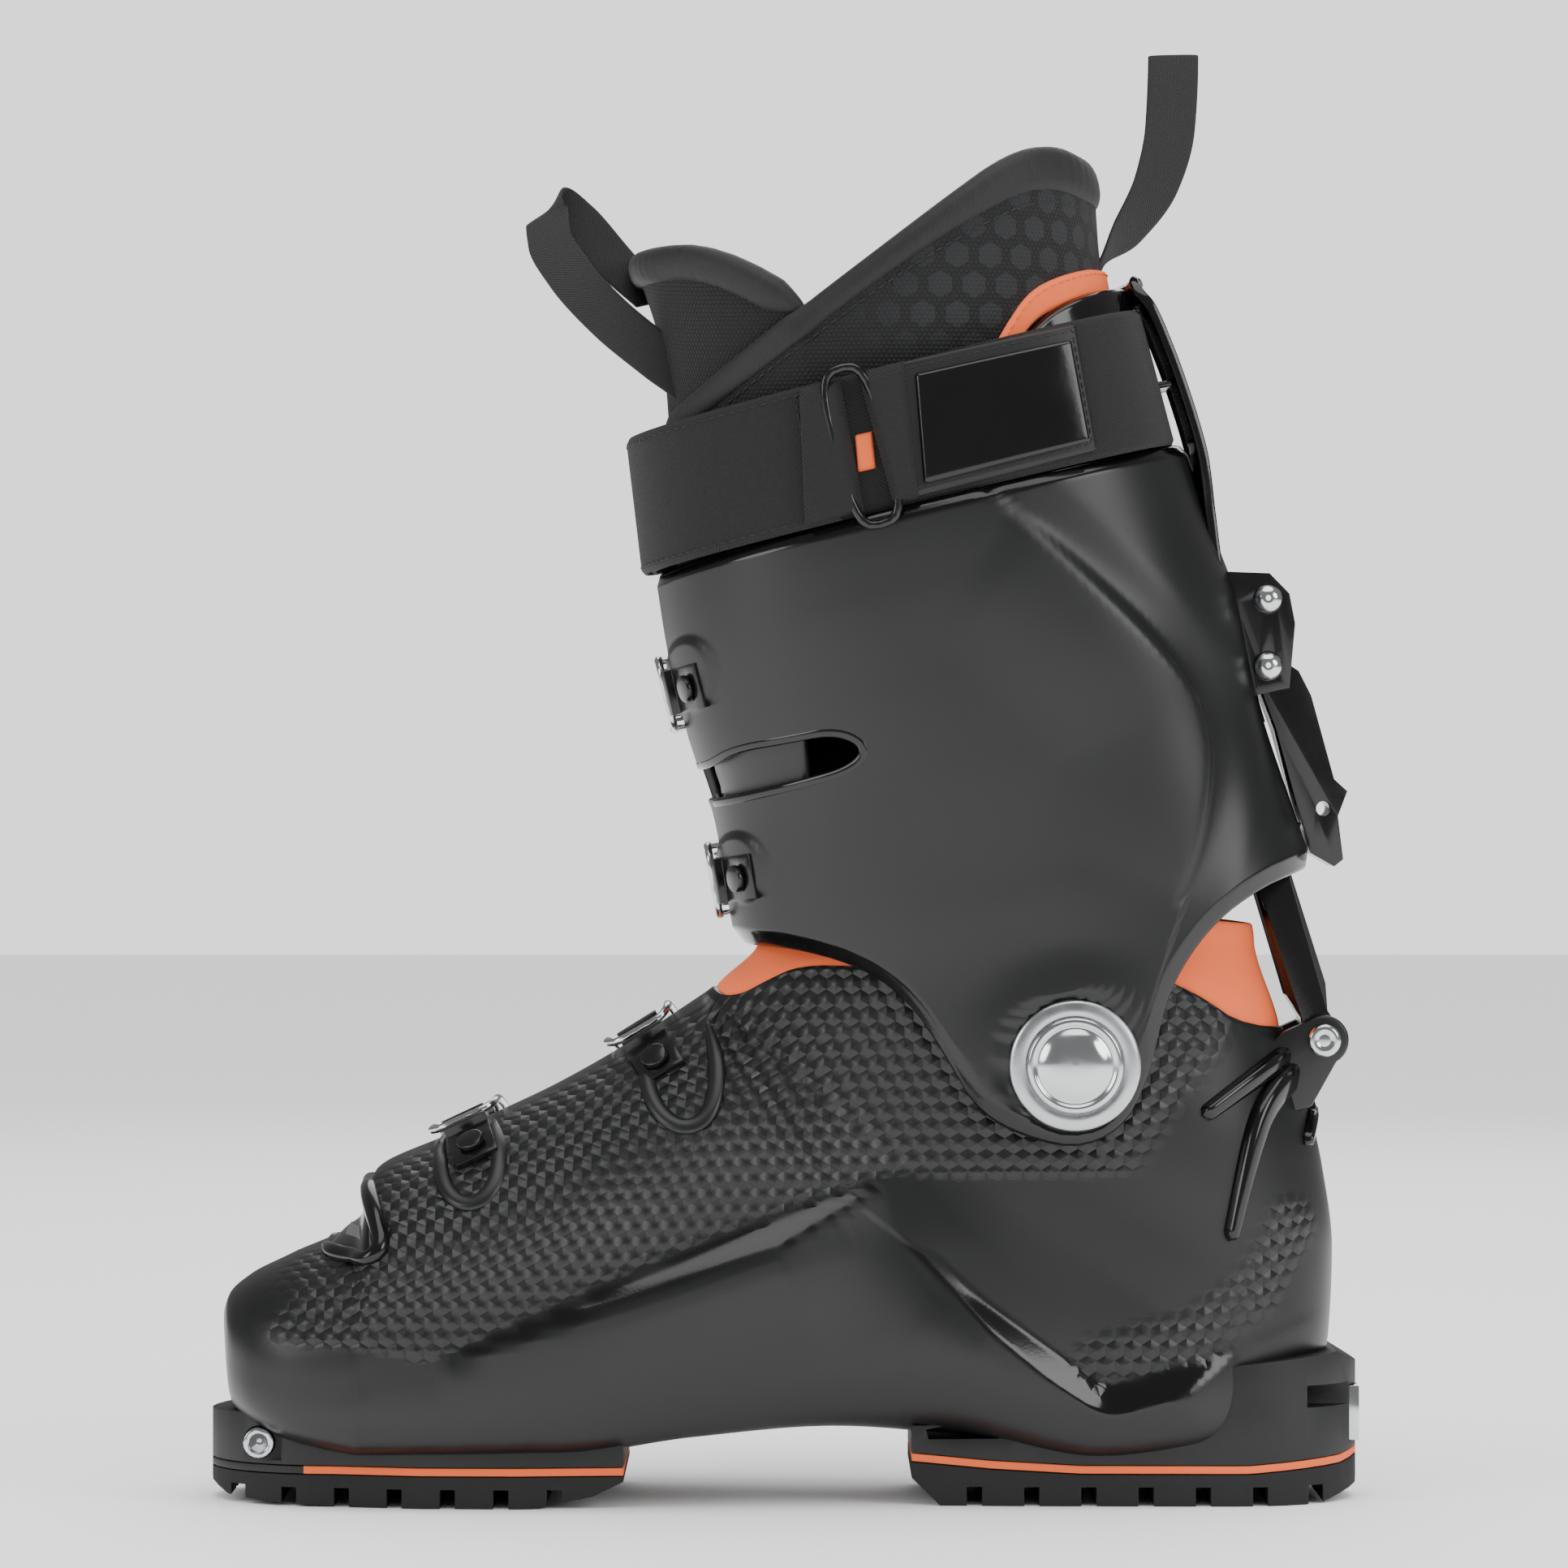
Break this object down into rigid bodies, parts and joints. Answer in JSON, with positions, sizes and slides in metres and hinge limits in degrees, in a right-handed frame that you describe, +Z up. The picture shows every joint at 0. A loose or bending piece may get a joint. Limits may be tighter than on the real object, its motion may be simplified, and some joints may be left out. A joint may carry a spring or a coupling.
{
  "type": "ski touring boot",
  "caption": "Right ski boot with a hinged cuff, overlap lower shell, four wire-bail buckles, power strap, lean lock lever, padded liner and lugged sole.",
  "frame": {"origin": "on the ground under the middle of the boot's footprint, at the middle of its box", "axes": "+Z up, -X towards the toe, +X towards the heel, -Y towards the medial side, +Y towards the lateral side where the buckle levers are"},
  "size_m": [0.305, 0.1164, 0.3847],
  "materials": {
    "shell_plastic": "satin moulded, charcoal black",
    "sole_plastic": "matt moulded, black",
    "tread_rubber": "matt, black",
    "orange_plastic": "satin moulded, orange",
    "orange_rubber": "matt, orange",
    "steel": "polished",
    "board_plastic": "matt, black",
    "liner_fabric": "woven mesh over foam, charcoal",
    "webbing": "ribbed webbing, black",
    "vinyl": "glossy vinyl, black",
    "black_steel": "black oxide",
    "black_aluminium": "anodised, black"
  },
  "bodies": {
    "lower_shell": {"clog_shell": "shell_plastic", "toe_sole_block": "sole_plastic", "toe_midsole": "orange_plastic", "toe_tread": "tread_rubber", "heel_sole_block": "sole_plastic", "heel_midsole": "orange_plastic", "heel_tread": "tread_rubber", "toe_insert": "steel", "heel_insert": "steel", "heel_insert_screw": "steel", "boot_board": "board_plastic", "footbed": "liner_fabric", "liner_foot": "liner_fabric", "gaiter": "orange_rubber", "toe_seal": "tread_rubber", "strut_pin": "steel", "pivot_rivet_medial": "steel", "pivot_rivet_lateral": "steel", "toe_catch_rack": "black_aluminium", "toe_catch_screw": "black_steel", "toe_buckle_base": "black_aluminium", "toe_hinge_pin": "steel", "instep_catch_rack": "black_aluminium", "instep_catch_screw": "black_steel", "instep_buckle_base": "black_aluminium", "instep_hinge_pin": "steel"},
    "cuff": {"cuff_shell": "shell_plastic", "pivot_washer_medial": "steel", "pivot_washer_lateral": "steel", "liner_cuff": "liner_fabric", "liner_tongue": "liner_fabric", "liner_front_loop": "webbing", "liner_rear_loop": "webbing", "power_strap": "webbing", "strap_pad": "vinyl", "strap_ring": "black_steel", "lock_bracket": "black_aluminium", "lock_rivet": "steel", "lock_hinge_pin": "steel", "lower_catch_rack": "black_aluminium", "lower_catch_screw": "black_steel", "lower_buckle_base": "black_aluminium", "lower_hinge_pin": "steel", "upper_catch_rack": "black_aluminium", "upper_catch_screw": "black_steel", "upper_buckle_base": "black_aluminium", "upper_hinge_pin": "steel"},
    "lean_strut": {"lean_strut": "black_aluminium"},
    "lock_lever": {"lock_lever": "black_aluminium"},
    "toe_lever": {"toe_buckle_lever": "black_aluminium"},
    "toe_bail": {"toe_buckle_bail": "steel"},
    "instep_lever": {"instep_buckle_lever": "black_aluminium"},
    "instep_bail": {"instep_buckle_bail": "steel"},
    "lower_lever": {"lower_buckle_lever": "black_aluminium"},
    "lower_bail": {"lower_buckle_bail": "steel"},
    "upper_lever": {"upper_buckle_lever": "black_aluminium"},
    "upper_bail": {"upper_buckle_bail": "steel"}
  },
  "joints": [
    {"name": "cuff_hinge", "type": "hinge", "parent": "lower_shell", "child": "cuff", "pos_m": [0.0758, 0, 0.1162], "axis": [0, -1, 0], "range_deg": [-22, 8], "deforming": ["gaiter"]},
    {"name": "strut_swing", "type": "hinge", "parent": "lower_shell", "child": "lean_strut", "pos_m": [0.1429, 0, 0.1217], "axis": [0, -1, 0], "range_deg": [-20, 7.5]},
    {"name": "lock_lever_flip", "type": "hinge", "parent": "cuff", "child": "lock_lever", "pos_m": [0.1282, 0, 0.2207], "axis": [0, -1, 0], "range_deg": [0, 95]},
    {"name": "toe_lever_hinge", "type": "hinge", "parent": "lower_shell", "child": "toe_lever", "pos_m": [-0.08343, 0.02948, 0.09748], "axis": [0.9063, 0, 0.4226], "range_deg": [0, 110]},
    {"name": "toe_bail_hinge", "type": "hinge", "parent": "toe_lever", "child": "toe_bail", "pos_m": [-0.08139, 0.03662, 0.09311], "axis": [0.9063, 0, 0.4226], "range_deg": [-128, 0]},
    {"name": "instep_lever_hinge", "type": "hinge", "parent": "lower_shell", "child": "instep_lever", "pos_m": [-0.0354, 0.02861, 0.11984], "axis": [0.848, 0, 0.5299], "range_deg": [0, 106]},
    {"name": "instep_bail_hinge", "type": "hinge", "parent": "instep_lever", "child": "instep_bail", "pos_m": [-0.03248, 0.03452, 0.11516], "axis": [0.848, 0, 0.5299], "range_deg": [-145.7, 0]},
    {"name": "lower_lever_hinge", "type": "hinge", "parent": "cuff", "child": "lower_lever", "pos_m": [-0.01487, 0.02846, 0.16421], "axis": [-0.1564, 0, 0.9877], "range_deg": [0, 80]},
    {"name": "lower_bail_hinge", "type": "hinge", "parent": "lower_lever", "child": "lower_bail", "pos_m": [-0.00886, 0.03556, 0.16516], "axis": [-0.1564, 0, 0.9877], "range_deg": [-93.5, 0]},
    {"name": "upper_lever_hinge", "type": "hinge", "parent": "cuff", "child": "upper_lever", "pos_m": [-0.0282, 0.02821, 0.21407], "axis": [-0.225, 0, 0.9744], "range_deg": [0, 100]},
    {"name": "upper_bail_hinge", "type": "hinge", "parent": "upper_lever", "child": "upper_bail", "pos_m": [-0.02298, 0.0363, 0.21527], "axis": [-0.225, 0, 0.9744], "range_deg": [-116.5, 0]}
  ],
  "couplings": [
    {"joint": "strut_swing", "follows": "cuff_hinge", "ratio": 0.9},
    {"joint": "toe_bail_hinge", "follows": "toe_lever_hinge", "ratio": -1.15},
    {"joint": "instep_bail_hinge", "follows": "instep_lever_hinge", "ratio": -1.36},
    {"joint": "lower_bail_hinge", "follows": "lower_lever_hinge", "ratio": -1.15},
    {"joint": "upper_bail_hinge", "follows": "upper_lever_hinge", "ratio": -1.15}
  ]
}
